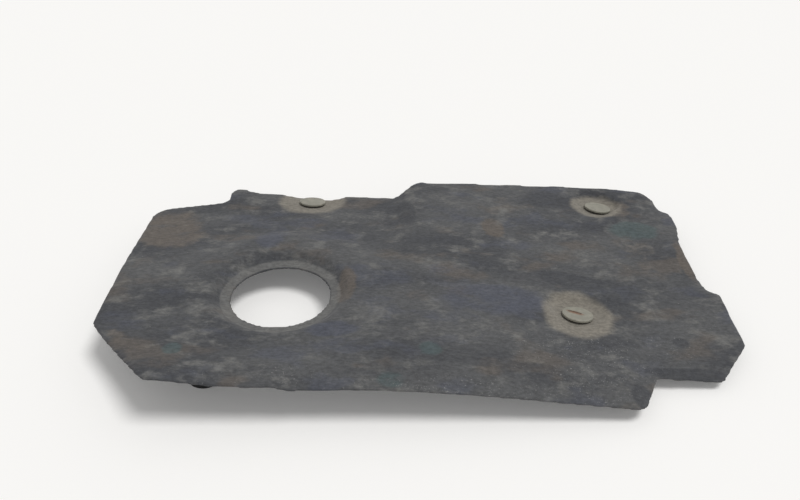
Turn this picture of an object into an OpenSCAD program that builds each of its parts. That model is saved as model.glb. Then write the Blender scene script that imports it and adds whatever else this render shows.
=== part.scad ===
// Moulded fibre noise insulator for the top of a car engine, with three push-in retainers and a rubber foot.
// X runs along the long side, Y towards the back edge, Z up.
// The origin is on the oil filler hole's axis, in the plane of the hole's sunk rim.

/* [Pad outline] */
// Reach of the left edge from the filler axis
left_reach = 137; // [132:1:146]
// Reach of the right edge from the filler axis
right_reach = 364; // [362:1:372]
// Reach of the front edge from the filler axis
front_reach = 118; // [114:1:124]
// Further reach of the front edge at its left end
front_skew = 2; // [0:0.5:4]
// Reach of the back edge of the right half
back_reach = 188; // [186:1:194]
// Reach of the back edge behind the left retainer
middle_back_reach = 176; // [172:1:180]
// Reach of the back edge at the far left
left_back_reach = 146; // [140:1:152]
// Length of the cut-off front left corner along X
left_cut_x = 60; // [45:1:70]
// Length of the cut-off front left corner along Y
left_cut_y = 71; // [60:1:78]
// Width of the notch in front of the right lobe
lobe_notch_x = 78; // [70:1:86]
// Depth of the notch in front of the right lobe
lobe_notch_y = 34; // [28:1:40]
// Length of the right lobe's cut-off corner along X
lobe_cut_x = 28; // [20:1:32]
// Length of the right lobe's cut-off corner along Y
lobe_cut_y = 37; // [30:1:44]
// Depth of the long shallow notch in the right edge
side_notch = 12; // [8:1:14]
// X of the left end of the right half's back edge
fold_x = 115; // [112:1:124]
// X of the raised back left corner
ear_x = -69; // [-74:1:-64]

/* [Pad section] */
// Thickness of the pad away from its edges
pad_t = 7; // [6:0.5:9]
// Thickness of the pressed edge
edge_t = 2; // [1.5:0.25:4]
// Width over which the edge thins
edge_taper = 16; // [12:1:22]
// Height of the filler rim above the surface that the pad rests on
stand_h = 25; // [24:0.5:28]
// Fall of the pad from the filler hole to the right lobe
right_fall = 19; // [16:0.5:20]
// Fall of the back left part behind the filler hole
back_fall = 6.5; // [5:0.5:8]
// Lift of the front left corner
corner_lift = 7.5; // [5:0.5:9]
// Lift of the back left ear
ear_lift = 3.5; // [2:0.5:5]
// Drop of the rolled front strip
strip_drop = 4; // [3:0.5:5]
// Width of the rolled front strip
strip_w = 33; // [28:1:38]
// Steepening of a recess's wall towards its rim
wall_power = 2.2; // [1.6:0.1:3]

/* [Filler hole] */
// Diameter of the filler hole
filler_d = 80; // [76:0.5:84]
// Width of the flat lip round the hole
lip_w = 6; // [4:0.5:8]
// Diameter of the dish round the hole
dish_d = 116; // [114:1:120]
// Depth of the dish
dish_depth = 8; // [7:0.25:9]
// Thickness of the lip and of the dish wall
dish_t = 2; // [1.5:0.25:3]

/* [Retainers] */
// Diameter of a retainer's head
head_d = 25; // [22:0.5:27]
// Thickness of a retainer's head
head_t = 1.8; // [1.5:0.1:2.5]
// Rounding of the head's rim
head_round = 0.8; // [0.4:0.1:1]
// Diameter of a retainer's stem
stem_d = 8; // [6:0.5:9]
// Diameter of the snap collar under the pad
collar_d = 14; // [12:0.5:16]
// Thickness of the snap collar
collar_t = 1.6; // [1.2:0.1:2.4]
// Chamfer on the stem's free end
stem_chamfer = 1; // [0.5:0.1:1.5]
// Lean of a retainer in its hole, front edge of the head up
lean = 4.5; // [3:0.5:6]
// Thickness of the pad that a retainer clamps
clamp_t = 4; // [3.5:0.25:5]
// Length of the turning slot in the right retainer's head
slot_l = 11; // [8:0.5:14]
// Width of the turning slot
slot_w = 3; // [2:0.25:4]
// Depth of the turning slot
slot_depth = 0.7; // [0.4:0.1:1]

/* [Foot] */
// Diameter of the rubber foot's base
foot_d = 26; // [22:0.5:28]
// Diameter of the foot's waist
foot_waist_d = 19; // [16:0.5:21]
// Height of the foot's base and of its top flange
foot_flange_t = 5; // [3:0.5:7]
// Diameter of the spigot that holds the foot in the pad
spigot_d = 9; // [7:0.5:12]
// Length of the spigot
spigot_l = 3; // [2:0.5:4]
// Place of the foot
foot_at = [-50, -70];

/* [Fits] */
// Gap between a piece and the face that it seats on
seat_gap = 0.2; // [0.1:0.05:0.3]
// Clearance round a stem or spigot in its hole
hole_clearance = 0.4; // [0.2:0.05:0.6]

/* [Hidden] */
$fn = 64;

bench_z = -stand_h;
lip_r = filler_d / 2 + lip_w;
dish_r = dish_d / 2;
seat_r = head_d / 2 + 3.5;
step_x = 8;
beyond = 60;

// Each recess: place, depth of its floor's centre below the sheet, fall to the right and to the back
recess_back_left = [[11.8, 157.2], 2.6, 3, 8.5];
recess_back_right = [[287.8, 151.3], 4.2, 6.2, 5];
recess_middle_right = [[238, -18.5], 3.5, 6, 6.3];
recesses = [recess_back_left, recess_back_right, recess_middle_right];

// Colours
felt = [0.29, 0.29, 0.30];
nylon = [0.58, 0.56, 0.51];
rubber = [0.07, 0.07, 0.07];

// Smooth step from 0 to 1
function ease(u) = let (v = min(max(u, 0), 1)) v * v * (3 - 2 * v);
function bell(d, w) = exp(-(d / w) * (d / w));
function mix(a, b, k) = a * (1 - k) + b * k;

// Corners of the outline in turn, each with its rounding radius
lobe_x = right_reach - lobe_notch_x;
lobe_y = -front_reach + lobe_notch_y;
side_x = right_reach - side_notch;
corners = [
    [-left_reach, -front_reach + left_cut_y, 12],
    [-left_reach + left_cut_x - 2, -front_reach - front_skew, 14],
    [step_x, -front_reach - 0.5, 60],
    [lobe_x - 16, -front_reach + 1, 9],
    [lobe_x, lobe_y, 4],
    [right_reach - lobe_cut_x, lobe_y, 8],
    [right_reach, lobe_y + lobe_cut_y, 6],
    [right_reach, 16, 5],
    [side_x + 3, 22, 5],
    [side_x, 36, 8],
    [side_x - 1, 92, 10],
    [side_x + 4, 119, 16],
    [side_x + 3, 142, 5],
    [side_x - 6, 148, 4],
    [side_x - 8, 166, 12],
    [side_x - 15, back_reach - 7, 10],
    [side_x - 36, back_reach - 3, 60],
    [fold_x + 140, back_reach + 0.5, 100],
    [fold_x, back_reach - 0.5, 6],
    [fold_x - 21, middle_back_reach - 10, 10],
    [ear_x + 22, middle_back_reach, 20],
    [ear_x + 5, middle_back_reach + 4, 7],
    [ear_x, middle_back_reach - 4, 5],
    [ear_x - 1, left_back_reach + 10, 9],
    [-left_reach, left_back_reach - 5, 20]
];

// One rounded corner as an arc of points from a tangent point to the next
function unit(v) = v / norm(v);
function xy(c) = [c[0], c[1]];
function fillet(before, c, after) =
    let (
        u = unit(xy(before) - xy(c)),
        v = unit(xy(after) - xy(c)),
        half = acos(u * v) / 2,
        reach = min(c[2] / tan(half), norm(xy(before) - xy(c)) / 2.1, norm(xy(after) - xy(c)) / 2.1),
        r = reach * tan(half),
        centre = xy(c) + unit(u + v) * r / sin(half),
        a = xy(c) + u * reach - centre,
        b = xy(c) + v * reach - centre,
        sweep = 180 - 2 * half,
        turn = a[0] * b[1] - a[1] * b[0] > 0 ? sweep : -sweep,
        steps = max(2, ceil(sweep / 12))
    )
    [for (i = [0 : steps])
        let (t = turn * i / steps)
        centre + [a[0] * cos(t) - a[1] * sin(t), a[0] * sin(t) + a[1] * cos(t)]
    ];
function outline() =
    let (n = len(corners))
    [for (i = [0 : n - 1]) each fillet(corners[(i + n - 1) % n], corners[i], corners[(i + 1) % n])];

// Distance from a point to the outline's straight sides
function side_distance(p, a, b) =
    let (d = b - a, t = min(max((p - a) * d / (d * d), 0), 1)) norm(p - a - d * t);
function edge_distance(p) =
    let (n = len(corners)) min([for (i = [0 : n - 1]) side_distance(p, xy(corners[i]), xy(corners[(i + 1) % n]))]);

// Height of the pad's top face, before the recesses are pressed in
seat_flat_r = dish_r + 14;
function level(x, y) =
    let (
        left = dish_depth - 0.03 * y,
        right = dish_depth - right_fall + 0.03 * y,
        droop = back_fall * ease((y - 15) / 125) * (1 - ease((x - 88) / 22))
    )
    mix(left, right, ease((x - 60) / 310)) - droop;
function lifts(x, y) =
    corner_lift * bell(x + left_reach - left_cut_x, 34) * bell(y + front_reach - 2, 34)
    + ear_lift * bell(x - ear_x - 7, 14) * bell(y - middle_back_reach, 16);
function strip(x, y) =
    strip_drop * ease((x - step_x) / 12) * (1 - ease((x - lobe_x + 22) / 14))
    * pow(min(max((strip_w - front_reach - y) / strip_w, 0), 1), 1.3);
function lobe_bevel(x, y) =
    strip_drop * ease((x - lobe_x + 22) / 14) * min(max((lobe_y + 14 - y) / 14, 0), 1);
function top_z(x, y) =
    let (near_dish = 1 - ease((norm([x, y]) - seat_flat_r) / 28))
    mix(level(x, y), dish_depth, near_dish) + lifts(x, y) - strip(x, y) - lobe_bevel(x, y);

// The underside follows the top, thins at the edges and bulges below each recess
pocket_bulge = 6;
function bulge(x, y) =
    max([for (r = recesses) pocket_bulge * (1 - ease((norm([x, y] - r[0]) - 30) / 14))]);
function thickness(x, y) = mix(edge_t, pad_t, ease(edge_distance([x, y]) / edge_taper)) + bulge(x, y);

// Lines of the grid that carries the two faces, closer where the form turns
function span(a, b, step) = let (n = ceil((b - a) / step)) [for (i = [0 : n - 1]) mix(a, b, i / n)];
grid_x = concat(span(-left_reach - 6, -62, 10), span(-62, 86, 9), span(86, 122, 4.5),
    span(122, side_x - 8, 10), span(side_x - 8, right_reach + 6, 5), [right_reach + 6]);
grid_y = concat(span(-front_reach - 6, -76, 7), span(-76, back_reach + 8, 9), [back_reach + 8]);

// A cell's diagonal follows the rings round the filler hole
function cell(a, up, across) =
    across ? [[a, a + up, a + 1], [a + 1, a + up, a + up + 1]] : [[a, a + up, a + up + 1], [a, a + up + 1, a + 1]];
function turned_over(face, under) = [face[2] + under, face[1] + under, face[0] + under];

module sheet() {
    nx = len(grid_x);
    ny = len(grid_y);
    top = [for (y = grid_y, x = grid_x) [x, y, top_z(x, y)]];
    bottom = [for (p = top) [p[0], p[1], p[2] - thickness(p[0], p[1])]];
    under = nx * ny;
    faces = [for (j = [0 : ny - 2], i = [0 : nx - 2]) each cell(j * nx + i, nx, grid_x[i] * grid_y[j] > 0)];
    last_row = (ny - 1) * nx;
    polyhedron(concat(top, bottom), concat(
        faces,
        [for (f = faces) turned_over(f, under)],
        [for (i = [0 : nx - 2]) [i + under, i, i + 1, i + 1 + under]],
        [for (i = [0 : nx - 2]) [last_row + i + 1 + under, last_row + i + 1, last_row + i, last_row + i + under]],
        [for (j = [0 : ny - 2]) [(j + 1) * nx + under, (j + 1) * nx, j * nx, j * nx + under]],
        [for (j = [1 : ny - 1]) [j * nx - 1 + under, j * nx - 1, (j + 1) * nx - 1, (j + 1) * nx - 1 + under]]
    ));
}

// Sunk dish and lip round the filler hole, turned as one ring
module dish() {
    steps = 8;
    rotate_extrude()
        polygon(concat(
            [[filler_d / 2, 0], [filler_d / 2, -dish_t]],
            [for (i = [0 : steps]) let (u = i / steps)
                [mix(lip_r, dish_r, u), mix(-dish_t, dish_depth - pad_t, ease(u))]],
            [for (i = [steps : -1 : 0]) let (u = i / steps)
                [mix(lip_r, dish_r, u), dish_depth * ease(u)]]
        ));
}

// Places on a recess: the middle of its floor, square to the floor
function floor_z(r) = top_z(r[0][0], r[0][1]) - r[1];
module on_floor(r) {
    translate([r[0][0], r[0][1], floor_z(r)])
        rotate([-r[3], r[2], 0])
            children();
}

// Rims of the recesses, measured from the middle of each seat
function round_outline(pts) =
    let (n = len(pts)) [for (i = [0 : n - 1]) each fillet(pts[(i + n - 1) % n], pts[i], pts[(i + 1) % n])];
recess_rims = [
    [for (t = [0 : 12 : 348]) [33 * cos(t), 8 + 31 * sin(t)]],
    round_outline([[-18, -14, 8], [-4, -22, 14], [28, 6, 12], [6, 29, 12], [-24, 27, 9]]),
    round_outline([[-18, -27, 8], [-8, -35, 12], [28, 4, 14], [18, 27, 10], [-26, 24, 8]])
];

// The press that sinks a recess: a flat seat for the head, and a wall that steepens up to the rim
function floor_at(r, q) = floor_z(r) - q[0] * tan(r[2]) - q[1] * tan(r[3]);
function depth_at(r, q) = max(top_z(r[0][0] + q[0], r[0][1] + q[1]) - floor_at(r, q), 0.6);
module press(r, rim) {
    n = len(rim);
    levels = [0, 0.25, 0.5, 0.7, 0.85, 1, 1.2];
    rings = [for (u = levels, q = rim)
        let (p = mix(unit(q) * seat_r, q, u))
        [r[0][0] + p[0], r[0][1] + p[1], floor_at(r, p) + depth_at(r, q) * pow(u, wall_power)]];
    lid = [for (q = rim) let (p = mix(unit(q) * seat_r, q, 1.2)) [r[0][0] + p[0], r[0][1] + p[1], beyond]];
    last = len(levels) * n;
    polyhedron(concat(rings, lid), concat(
        [[for (i = [0 : n - 1]) i]],
        [for (k = [0 : len(levels) - 1], i = [0 : n - 1]) [k * n + i, (k + 1) * n + i, k * n + (i + 1) % n]],
        [for (k = [0 : len(levels) - 1], i = [0 : n - 1])
            [k * n + (i + 1) % n, (k + 1) * n + i, (k + 1) * n + (i + 1) % n]],
        [[for (i = [n - 1 : -1 : 0]) last + i]]
    ));
}

module recess_cut(r, rim) {
    press(r, rim);
    on_floor(r) {
        translate([0, 0, -clamp_t - 1])
            cylinder(d = stem_d + 2 * hole_clearance, h = clamp_t + 2);
        translate([0, 0, -clamp_t - beyond])
            cylinder(d = head_d + 4, h = beyond);
    }
}

module pad() color(felt) difference() {
    union() {
        difference() {
            intersection() {
                sheet();
                translate([0, 0, -beyond]) linear_extrude(2 * beyond) polygon(outline());
            }
            translate([0, 0, -beyond]) cylinder(r = dish_r, h = 2 * beyond);
        }
        dish();
        translate([foot_at[0], foot_at[1], foot_seat_z]) cylinder(d = foot_d + 6, h = 4);
    }
    for (i = [0 : len(recesses) - 1]) recess_cut(recesses[i], recess_rims[i]);
    translate([foot_at[0], foot_at[1], foot_seat_z - 1])
        cylinder(d = spigot_d + 2 * hole_clearance, h = spigot_l + 1.5);
}

// Push-in retainer: disc head, stem through the pad and a snap collar below, ending on the bench.
// It leans back in its hole until the back edge of its head is down.
lean_lift = head_d / 2 * sin(lean);
lean_shift = (lean_lift + clamp_t / 2) * tan(lean);
module retainer(r) {
    upright = cos(r[2]) * cos(r[3] + lean);
    tip_r = stem_d / 2 - stem_chamfer;
    start_z = floor_z(r) + (lean_lift * cos(r[3]) - lean_shift * sin(r[3])) * cos(r[2]);
    stem_l = (start_z - bench_z - tip_r * sin(acos(upright))) / upright;
    collar_z = -clamp_t - seat_gap - (head_d + collar_d) / 2 * sin(lean);
    rim_r = head_d / 2 - head_round;
    rim_z = seat_gap + head_t - head_round;
    on_floor(r)
        translate([0, lean_shift, lean_lift])
            rotate([-lean, 0, 0])
                difference() {
                    rotate_extrude()
                        polygon(concat(
                            [[0, -stem_l], [tip_r, -stem_l], [stem_d / 2, -stem_l + stem_chamfer]],
                            [[stem_d / 2, collar_z - 2 * collar_t], [collar_d / 2, collar_z - collar_t]],
                            [[collar_d / 2, collar_z], [stem_d / 2, collar_z]],
                            [[stem_d / 2, seat_gap], [head_d / 2, seat_gap]],
                            [for (t = [0 : 15 : 90]) [rim_r + head_round * cos(t), rim_z + head_round * sin(t)]],
                            [[0, seat_gap + head_t]]
                        ));
                    translate([0, 0, seat_gap + head_t - slot_depth]) children();
                }
}
module turning_slot() translate([-2, 2, 0]) rotate([0, 0, -24]) linear_extrude(head_t) union() {
    square([slot_l - slot_w, slot_w], center = true);
    for (side = [-1, 1]) translate([side * (slot_l - slot_w) / 2, 0]) circle(d = slot_w);
}

module retainer_back_left() color(nylon) retainer(recess_back_left);
module retainer_back_right() color(nylon) retainer(recess_back_right);
module retainer_middle_right() color(nylon) retainer(recess_middle_right) turning_slot();

// Rubber foot, pushed by its spigot into the seat under the pad
foot_seat_z = top_z(foot_at[0], foot_at[1]) - pad_t - 1.5;
module foot() color(rubber) translate([foot_at[0], foot_at[1], 0]) rotate_extrude() polygon([
    [0, bench_z],
    [foot_d / 2 - 1, bench_z],
    [foot_d / 2, bench_z + 1],
    [foot_d / 2, bench_z + foot_flange_t],
    [foot_waist_d / 2, bench_z + foot_flange_t + 2],
    [foot_waist_d / 2, foot_seat_z - foot_flange_t - 2],
    [foot_d / 2, foot_seat_z - foot_flange_t],
    [foot_d / 2, foot_seat_z - seat_gap],
    [spigot_d / 2, foot_seat_z - seat_gap],
    [spigot_d / 2, foot_seat_z + spigot_l - 0.6],
    [spigot_d / 2 - 0.6, foot_seat_z + spigot_l],
    [0, foot_seat_z + spigot_l]
]);

pad();
retainer_back_left();
retainer_back_right();
retainer_middle_right();
foot();
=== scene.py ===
import math
import bpy
import numpy as np
from mathutils.kdtree import KDTree
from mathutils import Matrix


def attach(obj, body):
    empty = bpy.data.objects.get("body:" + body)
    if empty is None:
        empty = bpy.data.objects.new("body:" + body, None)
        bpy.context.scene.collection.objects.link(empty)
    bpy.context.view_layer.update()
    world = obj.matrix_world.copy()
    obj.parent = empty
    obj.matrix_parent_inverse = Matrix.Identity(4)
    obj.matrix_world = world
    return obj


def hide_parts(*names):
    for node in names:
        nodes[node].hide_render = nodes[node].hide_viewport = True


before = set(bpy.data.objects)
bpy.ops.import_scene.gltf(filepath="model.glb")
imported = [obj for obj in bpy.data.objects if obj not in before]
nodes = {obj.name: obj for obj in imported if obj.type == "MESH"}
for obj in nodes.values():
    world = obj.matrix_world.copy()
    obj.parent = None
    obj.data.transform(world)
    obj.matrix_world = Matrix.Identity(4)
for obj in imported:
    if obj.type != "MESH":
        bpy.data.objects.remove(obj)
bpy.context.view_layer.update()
scene = bpy.context.scene
mm = 0.001

# Camera, as the photograph was taken, with the origin on the filler hole's axis
cameraSetup = {
    "place": (96.8 * mm, -537.4 * mm, 400.2 * mm),
    "lookDown": 33.5,
    "lens": 37.125,
    "sensor": 36,
}


def makeActive(piece):
    bpy.ops.object.select_all(action="DESELECT")
    piece.select_set(True)
    bpy.context.view_layer.objects.active = piece


def applyModifier(piece, kind, **values):
    makeActive(piece)
    bpy.ops.object.modifier_add(type=kind)
    modifier = piece.modifiers[-1]
    for name, value in values.items():
        setattr(modifier, name, value)
    bpy.ops.object.modifier_apply(modifier=modifier.name)


def addCamera():
    bpy.ops.object.camera_add(
        location=cameraSetup["place"],
        rotation=(math.radians(90 - cameraSetup["lookDown"]), 0, 0),
    )
    camera = bpy.context.object
    camera.name = "viewCamera"
    camera.data.lens = cameraSetup["lens"]
    camera.data.sensor_width = cameraSetup["sensor"]
    scene.camera = camera


addCamera()
print("camera placed")


# Helpers for the materials
def newMaterial(name):
    material = bpy.data.materials.new(name)
    material.use_nodes = True
    material.node_tree.nodes.clear()
    return material, material.node_tree


def addNode(tree, kind, **values):
    node = tree.nodes.new(kind)
    for name, value in values.items():
        setattr(node, name, value)
    return node


def feed(tree, socket, value):
    if isinstance(value, bpy.types.NodeSocket):
        tree.links.new(value, socket)
    else:
        socket.default_value = value


def maths(tree, operation, *values):
    node = addNode(tree, "ShaderNodeMath", operation=operation)
    for socket, value in zip(node.inputs, values):
        feed(tree, socket, value)
    return node.outputs[0]


# A noise runs from 0 to 1, so its middle is taken off before it is scaled
def swing(tree, value, gain):
    return maths(tree, "MULTIPLY", maths(tree, "SUBTRACT", value, 0.5), gain)


def step(tree, value, low, high, top=1.0):
    node = addNode(tree, "ShaderNodeMapRange", interpolation_type="SMOOTHSTEP")
    feed(tree, node.inputs["Value"], value)
    node.inputs["From Min"].default_value = low
    node.inputs["From Max"].default_value = high
    node.inputs["To Max"].default_value = top
    return node.outputs["Result"]


def mixColour(tree, factor, first, second, blend="MIX"):
    node = addNode(tree, "ShaderNodeMix", data_type="RGBA", blend_type=blend)
    feed(tree, node.inputs["Factor"], factor)
    feed(tree, node.inputs["A"], first)
    feed(tree, node.inputs["B"], second)
    return node.outputs["Result"]


def placedCoords(tree, kind, location, turn, scale):
    coords = addNode(tree, "ShaderNodeTexCoord")
    mapping = addNode(tree, "ShaderNodeMapping", vector_type=kind)
    mapping.inputs["Location"].default_value = location
    mapping.inputs["Rotation"].default_value = (0, 0, math.radians(turn))
    mapping.inputs["Scale"].default_value = scale
    tree.links.new(coords.outputs["Object"], mapping.inputs["Vector"])
    return mapping.outputs["Vector"]


def noise(tree, size, stretch=(1, 1, 1), detail=4.0, roughness=0.55, turn=0.0, shift=(0, 0, 0)):
    node = addNode(tree, "ShaderNodeTexNoise")
    node.inputs["Scale"].default_value = 1.0
    node.inputs["Detail"].default_value = detail
    node.inputs["Roughness"].default_value = roughness
    vector = placedCoords(tree, "POINT", shift, turn, [1 / (size * s) for s in stretch])
    tree.links.new(vector, node.inputs["Vector"])
    return node.outputs["Fac"]


def attribute(tree, name):
    return addNode(tree, "ShaderNodeAttribute", attribute_name=name).outputs["Fac"]


def finishMaterial(tree, colour, roughness, bump, bumpHeight, bumpStrength, **sockets):
    shader = addNode(tree, "ShaderNodeBsdfPrincipled")
    feed(tree, shader.inputs["Base Color"], colour)
    feed(tree, shader.inputs["Roughness"], roughness)
    for name, value in sockets.items():
        shader.inputs[name.replace("_", " ")].default_value = value
    relief = addNode(tree, "ShaderNodeBump")
    relief.inputs["Strength"].default_value = bumpStrength
    relief.inputs["Distance"].default_value = bumpHeight
    tree.links.new(bump, relief.inputs["Height"])
    tree.links.new(relief.outputs["Normal"], shader.inputs["Normal"])
    output = addNode(tree, "ShaderNodeOutputMaterial")
    tree.links.new(shader.outputs["BSDF"], output.inputs["Surface"])


# Felt of the pad: streaky grey fibre with stains, scuffs, dust and dirty seats, painted shade in a crease, a
# valley and along bent edges, and a painted highlight round the hole's rim
feltColour = {
    "grey": (0.098, 0.099, 0.101, 1),
    "pale": (0.170, 0.168, 0.160, 1),
    # This dark colour is the felt's own dark tone and also painted shade in a crease, a valley and along bent
    # edges
    "darkAndShade": (0.055, 0.057, 0.063, 1),
    "brown": (0.128, 0.108, 0.090, 1),
    "teal": (0.070, 0.096, 0.098, 1),
    "blue": (0.074, 0.080, 0.104, 1),
    "seat": (0.235, 0.215, 0.180, 1),
    "dust": (0.300, 0.300, 0.290, 1),
}

feltNoise = {
    "streaks": {"size": 46 * mm, "stretch": (2.6, 1, 1), "detail": 5},
    "blotches": {"size": 15 * mm, "stretch": (1.5, 1, 1), "detail": 5, "roughness": 0.65, "shift": (3, 1, 0)},
    "fibres": {"size": 2.2 * mm, "stretch": (1.8, 1, 1), "detail": 3, "roughness": 0.7},
    "tints": {"size": 34 * mm, "stretch": (1.6, 1, 1), "detail": 3, "shift": (7, 5, 2)},
    "specks": {"size": 1.5 * mm, "detail": 2, "roughness": 0.8, "shift": (11, 3, 5)},
    "clumps": {"size": 9 * mm, "detail": 3, "roughness": 0.6, "shift": (2, 9, 4)},
}

# Where each fade begins and ends, and how strong it gets
feltFade = {
    "streaks": (0.34, 0.66, 1.0),
    "blotches": (0.48, 0.74, 0.85),
    "warmTint": (0.55, 0.68, 0.5),
    "coolTint": (0.46, 0.34, 0.5),
    "brown": (0.25, 0.8, 0.75),
    "teal": (0.25, 0.8, 0.75),
    "blue": (0.25, 0.8, 0.75),
    "pale": (0.3, 0.9, 0.75),
    # Fade of the dark felt marks and of the painted shade
    "darkAndShade": (0.2, 0.8, 0.8),
    "markGate": (0.02, 0.2, 1.0),
    "seat": (0.15, 0.6, 0.85),
    "seatGate": (0.02, 0.15, 1.0),
    # Fade of the painted highlight round the hole's rim
    "rim": (0.35, 0.9, 0.6),
    "specks": (0.68, 0.86, 0.75),
    "grain": (0.25, 0.75, 1.0),
}

feltAmount = {
    "raggedMark": 1.6,
    "raggedSeat": 0.35,
    "raggedRim": 0.3,
    "dustLift": 0.12,
    "clumpLift": 0.35,
    "grainDepth": 0.5,
    "grainBase": 0.75,
    "fibreRelief": 0.6,
    "clumpRelief": 0.9,
    "reliefHeight": 0.8 * mm,
    "reliefStrength": 0.55,
    "roughness": 0.94,
}

# Each stain or painted shade band: kind, middle and reach in mm, turn in degrees, strength
stainsAndShade = [
    ("brown", (-112, 100), (34, 44), 25, 0.75),
    ("brown", (-103, -72), (10, 30), 40, 0.5),
    ("brown", (182, 103), (12, 18), 0, 0.9),
    ("brown", (53, 6), (9, 28), 0, 0.9),
    ("brown", (348, 62), (7, 34), 0, 0.9),
    ("brown", (305, 150), (16, 22), 0, 0.6),
    ("brown", (310, 72), (26, 22), 0, 0.35),
    ("darkAndShade", (238, 160), (24, 20), 0, 0.7),
    # Painted shade: a dark valley behind the middle-right retainer's seat
    ("darkAndShade", (239, 26), (32, 13), -12, 0.9),
    ("darkAndShade", (270, -105), (9, 12), 0, 1.0),
    ("darkAndShade", (313, -47), (8, 7), 0, 0.8),
    # Painted shade: the dark crease under the fold at the back
    ("darkAndShade", (103, 128), (9, 26), 10, 0.9),
    # Painted shade: the right lobe's bevelled front edge
    ("darkAndShade", (311, -79), (34, 6), 0, 0.9),
    ("darkAndShade", (-78, -100), (12, 10), 0, 0.6),
    # Painted shade: the bend where the front strip rolls down
    ("darkAndShade", (159, -86), (70, 6), -2, 0.55),
    ("blue", (-19, 74), (16, 16), 0, 0.8),
    ("blue", (11, 114), (26, 12), 0, 0.6),
    ("blue", (44, -52), (24, 11), 0, 0.8),
    ("blue", (171, -8), (48, 24), 0, 0.7),
    ("blue", (138, 20), (30, 22), 0, 0.4),
    ("teal", (-68, -80), (8, 8), 0, 0.9),
    ("teal", (91, -108), (12, 8), 0, 0.7),
    ("teal", (314, 109), (24, 16), 0, 0.9),
    ("teal", (119, -75), (10, 9), 0, 0.8),
    ("pale", (-67, -24), (14, 12), 0, 0.6),
    ("pale", (-84, -32), (14, 12), 0, 0.5),
    ("pale", (192, 122), (8, 22), -20, 0.6),
    ("pale", (167, 94), (9, 14), 0, 0.6),
    ("pale", (241, 82), (40, 30), 0, 0.35),
    ("pale", (71, -33), (20, 18), 0, 0.6),
    ("pale", (106, 159), (8, 16), 10, 0.6),
    ("dust", (237, -76), (60, 36), 0, 0.8),
    ("dust", (160, -112), (110, 10), 0, 0.8),
    ("dust", (16, -106), (24, 12), 0, 0.8),
    ("dust", (303, -52), (26, 20), 0, 0.7),
    ("dust", (-40, -112), (30, 8), 0, 0.4),
]

# Dirt round each retainer's seat: middle and reach in mm
seatDirt = [
    ((12, 160), (33, 27)),
    ((286, 153), (25, 22)),
    ((238, -20), (28, 30)),
]

# A stain or painted shade blob is full within half its reach and gone a third past it
blobShape = {"core": 1.6, "falloff": 1.2}


def makeFelt():
    material, tree = newMaterial("feltPad")
    grain = {name: noise(tree, **values) for name, values in feltNoise.items()}
    amount = feltAmount

    def fade(name, value):
        return step(tree, value, *feltFade[name])

    def tint(factor, under, kind):
        return mixColour(tree, factor, under, feltColour[kind])

    colour = tint(fade("streaks", grain["streaks"]), feltColour["darkAndShade"], "grey")
    colour = tint(fade("blotches", grain["blotches"]), colour, "pale")
    colour = tint(fade("warmTint", grain["tints"]), colour, "brown")
    colour = tint(fade("coolTint", grain["tints"]), colour, "blue")

    ragged = swing(tree, grain["blotches"], amount["raggedMark"])
    # The dark kind's marks include painted shade in a crease, a valley and along bent edges
    for kind in ("brown", "teal", "blue", "pale", "darkAndShade"):
        markLevel = attribute(tree, kind + "Stain")
        spread = fade(kind, maths(tree, "ADD", markLevel, ragged))
        colour = tint(maths(tree, "MULTIPLY", spread, fade("markGate", markLevel)), colour, kind)

    seat = attribute(tree, "seatDirt")
    seatRagged = maths(tree, "MULTIPLY", ragged, amount["raggedSeat"])
    seatSpread = fade("seat", maths(tree, "ADD", seat, seatRagged))
    colour = tint(maths(tree, "MULTIPLY", seatSpread, fade("seatGate", seat)), colour, "seat")

    # Painted highlight: a pale ring round the hole's rim
    rimRagged = maths(tree, "MULTIPLY", ragged, amount["raggedRim"])
    rimSpread = maths(tree, "ADD", attribute(tree, "paleRimHighlight"), rimRagged)
    colour = tint(fade("rim", rimSpread), colour, "pale")

    dusty = maths(tree, "MULTIPLY", attribute(tree, "dustStain"), amount["dustLift"])
    speckLevel = maths(tree, "ADD", grain["specks"], dusty)
    speckLevel = maths(tree, "ADD", speckLevel, swing(tree, grain["clumps"], amount["clumpLift"]))
    colour = tint(fade("specks", speckLevel), colour, "dust")

    grainFade = fade("grain", grain["fibres"])
    grainTone = maths(tree, "MULTIPLY_ADD", grainFade, amount["grainDepth"], amount["grainBase"])
    colour = mixColour(tree, 1.0, colour, grainTone, blend="MULTIPLY")

    fibreRelief = maths(tree, "MULTIPLY", grain["fibres"], amount["fibreRelief"])
    clumpRelief = maths(tree, "MULTIPLY", grain["clumps"], amount["clumpRelief"])
    finishMaterial(
        tree, colour, amount["roughness"], maths(tree, "ADD", fibreRelief, clumpRelief),
        amount["reliefHeight"], amount["reliefStrength"],
        Sheen_Weight=0.12, Sheen_Roughness=0.6, Specular_IOR_Level=0.2,
    )
    return material


# Pad: the CAD pad made into soft felt
padForm = {
    "voxel": 1.6 * mm,
    "mergeGap": 0.01 * mm,
    "edgeKeep": 7 * mm,
    "steepNormal": 0.3,
    "leastWeight": 0.01,
    "softenSteps": 24,
    "settleSteps": 2,
    "lumpSize": 30 * mm,
    "lumpHeight": 1.1 * mm,
    "fluffSize": 5 * mm,
    "fluffHeight": 0.35 * mm,
    # Reach of the painted highlight round the hole's rim
    "holeRadius": 40 * mm,
    "rimFadeIn": 1.5 * mm,
    "rimOuter": 51 * mm,
    "rimFadeOut": 4 * mm,
    "fill": 0.5,
}


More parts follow.
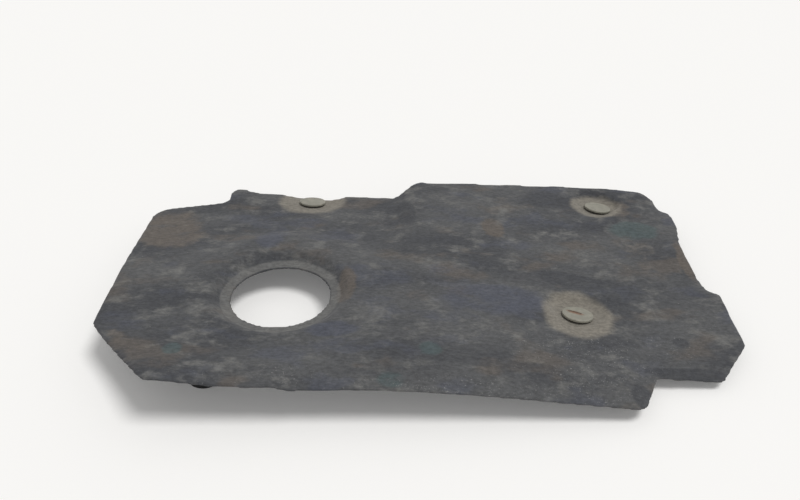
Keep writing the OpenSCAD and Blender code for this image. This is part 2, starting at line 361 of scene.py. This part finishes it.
def copyOfNode(nodeName, pieceName):
    piece = bpy.data.objects.new(pieceName, nodes[nodeName].data.copy())
    scene.collection.objects.link(piece)
    makeActive(piece)
    bpy.ops.object.mode_set(mode="EDIT")
    bpy.ops.mesh.select_all(action="SELECT")
    bpy.ops.mesh.remove_doubles(threshold=padForm["mergeGap"])
    bpy.ops.object.mode_set(mode="OBJECT")
    return piece


def pointsOf(piece, what="co"):
    values = np.zeros(len(piece.data.vertices) * 3, np.float32)
    piece.data.vertices.foreach_get(what, values)
    return values.reshape(-1, 3).astype(float)


def ease(values):
    v = np.clip(values, 0, 1)
    return v * v * (3 - 2 * v)


def blob(points, middle, reach, turn=0.0):
    angle = math.radians(turn)
    x = points[:, 0] / mm - middle[0]
    y = points[:, 1] / mm - middle[1]
    u = (x * math.cos(angle) + y * math.sin(angle)) / reach[0]
    v = (y * math.cos(angle) - x * math.sin(angle)) / reach[1]
    return ease(blobShape["core"] - blobShape["falloff"] * np.sqrt(u * u + v * v))


def writeAttribute(piece, name, values):
    layer = piece.data.attributes.new(name, "FLOAT", "POINT")
    layer.data.foreach_set("value", np.clip(values, 0, 1).astype(np.float32))


# Weights that keep the smoothing and the lumps off the pad's steep edges
def innerWeights(piece):
    points = pointsOf(piece)
    normals = pointsOf(piece, "normal")
    steep = np.flatnonzero(np.abs(normals[:, 2]) < padForm["steepNormal"])
    tree = KDTree(len(steep))
    for i in steep:
        tree.insert(points[i], i)
    tree.balance()
    distance = np.array([tree.find(p)[2] for p in points])
    return ease(distance / padForm["edgeKeep"])


def addGroup(piece, name, weights):
    group = piece.vertex_groups.new(name=name)
    for i, weight in enumerate(weights):
        if weight > padForm["leastWeight"]:
            group.add([i], float(weight), "REPLACE")


def clouds(name, size):
    texture = bpy.data.textures.new(name, "CLOUDS")
    texture.noise_scale = size
    texture.noise_depth = 2
    return texture


# Stains, painted shade and the painted highlight round the hole lie on the upper side only
def paintStainsShadeAndHighlight(pad):
    points = pointsOf(pad)
    above = pointsOf(pad, "normal")[:, 2] > 0
    for kind in ("brown", "teal", "blue", "pale", "darkAndShade", "dust"):
        total = np.zeros(len(points))
        for markKind, middle, reach, turn, strength in stainsAndShade:
            if markKind == kind:
                total = np.maximum(total, strength * blob(points, middle, reach, turn))
        writeAttribute(pad, kind + "Stain", total * above)
    dirt = np.zeros(len(points))
    for middle, reach in seatDirt:
        dirt = np.maximum(dirt, blob(points, middle, reach))
    writeAttribute(pad, "seatDirt", dirt * above)
    # Painted highlight: a pale ring from the hole's edge outwards
    radius = np.hypot(points[:, 0], points[:, 1])
    inner = ease((radius - padForm["holeRadius"]) / padForm["rimFadeIn"])
    outer = ease((padForm["rimOuter"] - radius) / padForm["rimFadeOut"])
    writeAttribute(pad, "paleRimHighlight", inner * outer * above)


def makePad():
    pad = copyOfNode("pad", "feltPadPiece")
    applyModifier(pad, "REMESH", mode="VOXEL", voxel_size=padForm["voxel"])
    addGroup(pad, "inner", innerWeights(pad))
    applyModifier(
        pad, "SMOOTH", factor=0.5, iterations=padForm["softenSteps"],
        use_x=False, use_y=False, vertex_group="inner",
    )
    applyModifier(pad, "SMOOTH", factor=0.5, iterations=padForm["settleSteps"])
    applyModifier(
        pad, "DISPLACE", texture=clouds("padLumps", padForm["lumpSize"]),
        strength=padForm["lumpHeight"], mid_level=0.5, vertex_group="inner",
    )
    applyModifier(
        pad, "DISPLACE", texture=clouds("padFluff", padForm["fluffSize"]),
        strength=padForm["fluffHeight"], mid_level=0.5,
    )
    makeActive(pad)
    bpy.ops.object.shade_smooth()
    paintStainsShadeAndHighlight(pad)
    pad.data.materials.clear()
    pad.data.materials.append(makeFelt())
    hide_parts("pad")
    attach(pad, "root")
    return pad


padPiece = makePad()
print("pad made:", len(padPiece.data.vertices), "points")

# Retainers: grey nylon, dull and worn, with rust on the slotted one
nylonLook = {
    "clean": (0.235, 0.228, 0.190, 1),
    "worn": (0.300, 0.285, 0.235, 1),
    "grime": (0.110, 0.100, 0.082, 1),
    "rust": (0.200, 0.110, 0.070, 1),
    "wearSize": 6 * mm,
    "wearFade": (0.35, 0.7),
    "scratchSize": 1.1 * mm,
    "scratchTurn": 25,
    "scratchFade": (0.55, 0.8, 0.4),
    "scratchDepth": 0.1 * mm,
    "roughness": 0.62,
}

# Rust along the turning slot: middle and reach in mm, turn in degrees
slotRust = {
    "middle": (236.5, -16.5, -2),
    "turn": -24,
    "reach": (7.5, 2.6, 20),
    "ragged": 0.8,
    "fade": (1.6, 0.9, 0.85),
}


def addRust(tree, colour, wear):
    location = [v * mm for v in slotRust["middle"]]
    scale = [v * mm for v in slotRust["reach"]]
    length = addNode(tree, "ShaderNodeVectorMath", operation="LENGTH")
    tree.links.new(placedCoords(tree, "TEXTURE", location, slotRust["turn"], scale), length.inputs[0])
    ragged = maths(tree, "MULTIPLY", wear, slotRust["ragged"])
    edge = maths(tree, "ADD", length.outputs["Value"], ragged)
    return mixColour(tree, step(tree, edge, *slotRust["fade"]), colour, nylonLook["rust"])


def makeNylon(name, rusty):
    look = nylonLook
    material, tree = newMaterial(name)
    wear = noise(tree, look["wearSize"], detail=4, roughness=0.6)
    scratches = noise(
        tree, look["scratchSize"], stretch=(5, 1, 1), detail=3, roughness=0.7, turn=look["scratchTurn"],
    )
    colour = mixColour(tree, step(tree, wear, *look["wearFade"]), look["clean"], look["worn"])
    colour = mixColour(tree, step(tree, scratches, *look["scratchFade"]), colour, look["grime"])
    if rusty:
        colour = addRust(tree, colour, wear)
    finishMaterial(tree, colour, look["roughness"], scratches, look["scratchDepth"], 0.3)
    return material


def dressNode(nodeName, material):
    node = nodes[nodeName]
    node.data.materials.clear()
    node.data.materials.append(material)


plainNylon = makeNylon("nylonRetainer", rusty=False)
dressNode("retainer_back_left", plainNylon)
dressNode("retainer_back_right", plainNylon)
dressNode("retainer_middle_right", makeNylon("nylonRusty", rusty=True))
print("retainers dressed")

# Foot: black rubber with a faint bloom
rubberLook = {
    "black": (0.016, 0.016, 0.017, 1),
    "bloom": (0.045, 0.044, 0.042, 1),
    "bloomSize": 5 * mm,
    "bloomFade": (0.5, 0.8),
    "grainSize": 0.7 * mm,
    "grainDepth": 0.2 * mm,
    "roughness": 0.7,
}


def makeRubber():
    look = rubberLook
    material, tree = newMaterial("rubberFoot")
    bloom = noise(tree, look["bloomSize"], detail=4, roughness=0.65)
    grain = noise(tree, look["grainSize"], detail=2)
    colour = mixColour(tree, step(tree, bloom, *look["bloomFade"]), look["black"], look["bloom"])
    finishMaterial(tree, colour, look["roughness"], grain, look["grainDepth"], 0.3)
    return material


dressNode("foot", makeRubber())
print("foot dressed")

# Bench: pale, with a little glow that only the camera sees, and the pad's shadow kept
benchSetup = {
    "height": -25 * mm,
    "colour": (0.90, 0.89, 0.87, 1),
    "reach": 6,
    "glow": 0.12,
}


def addBench():
    bpy.ops.mesh.primitive_plane_add(size=benchSetup["reach"], location=(0, 0, benchSetup["height"]))
    bench = bpy.context.object
    bench.name = "bench"
    material, tree = newMaterial("benchWhite")
    diffuse = addNode(tree, "ShaderNodeBsdfDiffuse")
    diffuse.inputs["Color"].default_value = benchSetup["colour"]
    glow = addNode(tree, "ShaderNodeEmission")
    path = addNode(tree, "ShaderNodeLightPath")
    strength = maths(tree, "MULTIPLY", path.outputs["Is Camera Ray"], benchSetup["glow"])
    tree.links.new(strength, glow.inputs["Strength"])
    both = addNode(tree, "ShaderNodeAddShader")
    tree.links.new(diffuse.outputs[0], both.inputs[0])
    tree.links.new(glow.outputs[0], both.inputs[1])
    output = addNode(tree, "ShaderNodeOutputMaterial")
    tree.links.new(both.outputs[0], output.inputs["Surface"])
    bench.data.materials.append(material)


# Light: one soft sun from the back left, and an even pale room
lightSetup = {
    "sunFrom": (-0.38, 0.15, 1.0),
    "sunStrength": 1.75,
    "sunAngle": 24,
    "skyStrength": 0.5,
}


def addSun():
    bpy.ops.object.light_add(type="SUN", location=lightSetup["sunFrom"])
    sun = bpy.context.object
    sun.name = "windowSun"
    x, y, z = lightSetup["sunFrom"]
    sun.rotation_euler = (math.atan2(math.hypot(x, y), z), 0, math.atan2(-x, y))
    sun.data.energy = lightSetup["sunStrength"]
    sun.data.angle = math.radians(lightSetup["sunAngle"])


def addWorld():
    world = bpy.data.worlds.new("paleRoom")
    scene.world = world
    world.use_nodes = True
    tree = world.node_tree
    tree.nodes.clear()
    sky = addNode(tree, "ShaderNodeBackground")
    sky.inputs["Strength"].default_value = lightSetup["skyStrength"]
    white = addNode(tree, "ShaderNodeBackground")
    path = addNode(tree, "ShaderNodeLightPath")
    choose = addNode(tree, "ShaderNodeMixShader")
    seen = maths(tree, "MAXIMUM", path.outputs["Is Camera Ray"], path.outputs["Is Glossy Ray"])
    tree.links.new(seen, choose.inputs[0])
    tree.links.new(sky.outputs[0], choose.inputs[1])
    tree.links.new(white.outputs[0], choose.inputs[2])
    output = addNode(tree, "ShaderNodeOutputWorld")
    tree.links.new(choose.outputs[0], output.inputs["Surface"])


addBench()
addSun()
addWorld()
scene.view_settings.view_transform = "Standard"
print("lights and bench placed")
